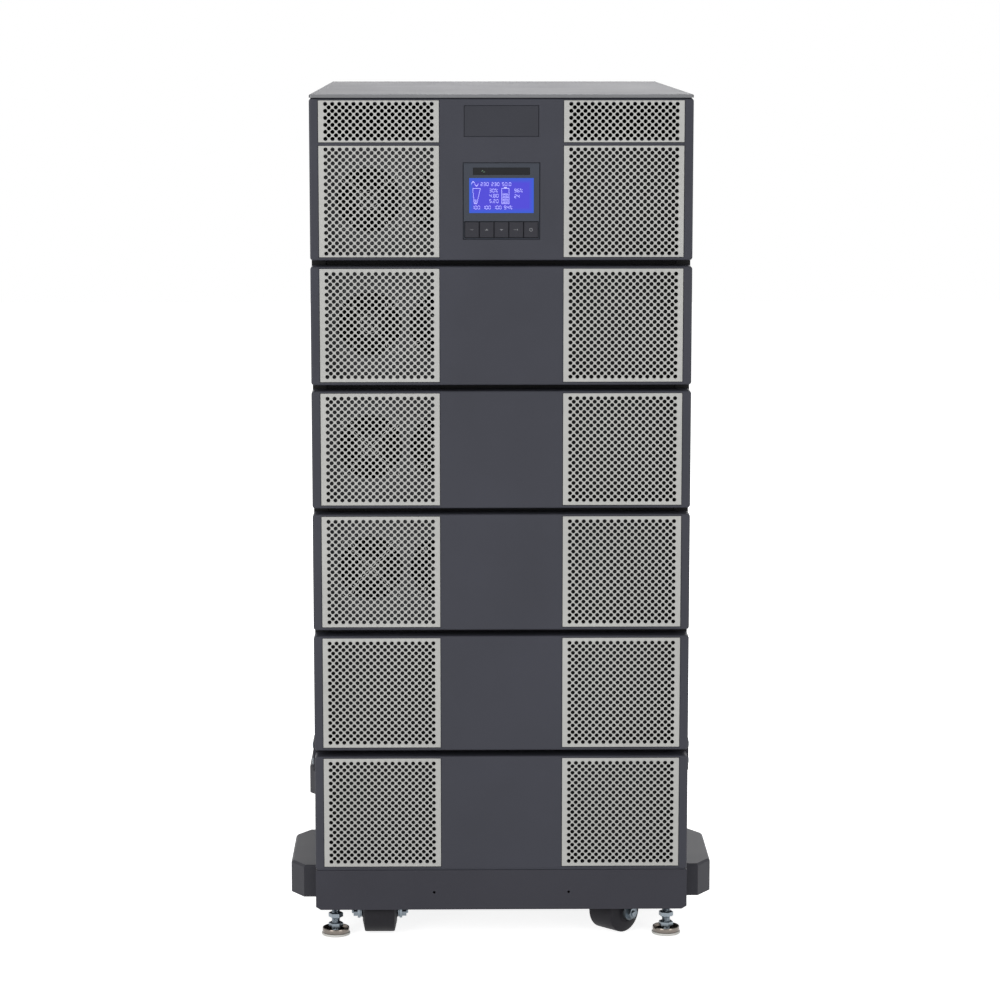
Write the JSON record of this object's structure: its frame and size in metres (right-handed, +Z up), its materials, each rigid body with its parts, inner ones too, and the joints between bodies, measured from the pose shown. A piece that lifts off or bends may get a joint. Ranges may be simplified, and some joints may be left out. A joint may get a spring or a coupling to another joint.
{
  "type": "modular UPS cabinet",
  "caption": "Free-standing modular uninterruptible power supply cabinet with stacked perforated bezels, a small display with keys, a base on levelling feet and swivel casters.",
  "frame": {"origin": "centre of the floor outline, on the floor under the levelling feet", "axes": "+Z up, -Y to the front with the display, +X to the viewer's right"},
  "size_m": [0.5, 0.7, 0.995],
  "materials": {
    "bezel_plastic": "fine satin grain, charcoal grey",
    "grille_plastic": "satin silver grey",
    "chassis_paint": "semi-gloss black powder coat",
    "outrigger_plastic": "black satin moulding",
    "module_steel": "zinc-plated sheet",
    "fan_plastic": "black moulded fan",
    "panel_plastic": "charcoal moulding",
    "screen_glass": "backlit display window",
    "key_plastic": "dark grey elastomer keycaps",
    "foot_zinc": "zinc-plated steel with a pale sole",
    "caster_zinc": "zinc-plated pressed steel",
    "wheel_rubber": "black solid wheel"
  },
  "bodies": {
    "cabinet": {"bezel_1": "bezel_plastic", "bezel_2": "bezel_plastic", "bezel_3": "bezel_plastic", "bezel_4": "bezel_plastic", "bezel_5": "bezel_plastic", "bezel_6": "bezel_plastic", "grilles_1": "grille_plastic", "grilles_2": "grille_plastic", "grilles_3": "grille_plastic", "grilles_4": "grille_plastic", "grilles_5": "grille_plastic", "grilles_6": "grille_plastic", "base_tray": "chassis_paint", "side_panels_left": "chassis_paint", "side_panels_right": "chassis_paint", "top_cover": "chassis_paint", "rear_panels": "chassis_paint", "tier_shelves": "chassis_paint", "wiring_cover": "chassis_paint", "stacking_brackets": "chassis_paint", "outriggers_front": "outrigger_plastic", "outriggers_rear": "outrigger_plastic", "power_modules": "module_steel", "battery_modules": "module_steel", "fans": "fan_plastic", "display_housing": "panel_plastic", "badge_plate": "panel_plastic", "lcd_screen": "screen_glass", "status_bar": "screen_glass", "levelling_feet": "foot_zinc", "caster_plates": "caster_zinc"},
    "caster_front_left": {"caster_fork_front_left": "caster_zinc"},
    "caster_front_right": {"caster_fork_front_right": "caster_zinc"},
    "caster_rear_left": {"caster_fork_rear_left": "caster_zinc"},
    "caster_rear_right": {"caster_fork_rear_right": "caster_zinc"},
    "wheel_front_left": {"caster_wheel_front_left": "wheel_rubber"},
    "wheel_front_right": {"caster_wheel_front_right": "wheel_rubber"},
    "wheel_rear_left": {"caster_wheel_rear_left": "wheel_rubber"},
    "wheel_rear_right": {"caster_wheel_rear_right": "wheel_rubber"},
    "key_1_body": {"key_1": "key_plastic"},
    "key_2_body": {"key_2": "key_plastic"},
    "key_3_body": {"key_3": "key_plastic"},
    "key_4_body": {"key_4": "key_plastic"},
    "key_5_body": {"key_5": "key_plastic"}
  },
  "joints": [
    {"name": "swivel_front_left", "type": "hinge", "parent": "cabinet", "child": "caster_front_left", "pos_m": [-0.1445, -0.297, 0.057], "axis": [0, 0, 1], "continuous": true},
    {"name": "roll_front_left", "type": "hinge", "parent": "caster_front_left", "child": "wheel_front_left", "pos_m": [-0.1445, -0.31, 0.027], "axis": [1, 0, 0], "continuous": true},
    {"name": "swivel_front_right", "type": "hinge", "parent": "cabinet", "child": "caster_front_right", "pos_m": [0.1445, -0.297, 0.057], "axis": [0, 0, 1], "continuous": true},
    {"name": "roll_front_right", "type": "hinge", "parent": "caster_front_right", "child": "wheel_front_right", "pos_m": [0.13531, -0.30619, 0.027], "axis": [0.7071, -0.7071, 0], "continuous": true},
    {"name": "swivel_rear_left", "type": "hinge", "parent": "cabinet", "child": "caster_rear_left", "pos_m": [-0.1445, 0.297, 0.057], "axis": [0, 0, 1], "continuous": true},
    {"name": "roll_rear_left", "type": "hinge", "parent": "caster_rear_left", "child": "wheel_rear_left", "pos_m": [-0.14114, 0.28444, 0.027], "axis": [0.9659, 0.2588, 0], "continuous": true},
    {"name": "swivel_rear_right", "type": "hinge", "parent": "cabinet", "child": "caster_rear_right", "pos_m": [0.1445, 0.297, 0.057], "axis": [0, 0, 1], "continuous": true},
    {"name": "roll_rear_right", "type": "hinge", "parent": "caster_rear_right", "child": "wheel_rear_right", "pos_m": [0.14005, 0.28478, 0.027], "axis": [0.9397, -0.342, 0], "continuous": true},
    {"name": "press_key_1", "type": "slide", "parent": "cabinet", "child": "key_1_body", "axis": [0, 1, 0], "range_m": [0, 0.0008], "stiffness_N_per_m": 600, "springref_m": -0.0015},
    {"name": "press_key_2", "type": "slide", "parent": "cabinet", "child": "key_2_body", "axis": [0, 1, 0], "range_m": [0, 0.0008], "stiffness_N_per_m": 600, "springref_m": -0.0015},
    {"name": "press_key_3", "type": "slide", "parent": "cabinet", "child": "key_3_body", "axis": [0, 1, 0], "range_m": [0, 0.0008], "stiffness_N_per_m": 600, "springref_m": -0.0015},
    {"name": "press_key_4", "type": "slide", "parent": "cabinet", "child": "key_4_body", "axis": [0, 1, 0], "range_m": [0, 0.0008], "stiffness_N_per_m": 600, "springref_m": -0.0015},
    {"name": "press_key_5", "type": "slide", "parent": "cabinet", "child": "key_5_body", "axis": [0, 1, 0], "range_m": [0, 0.0008], "stiffness_N_per_m": 600, "springref_m": -0.0015}
  ]
}
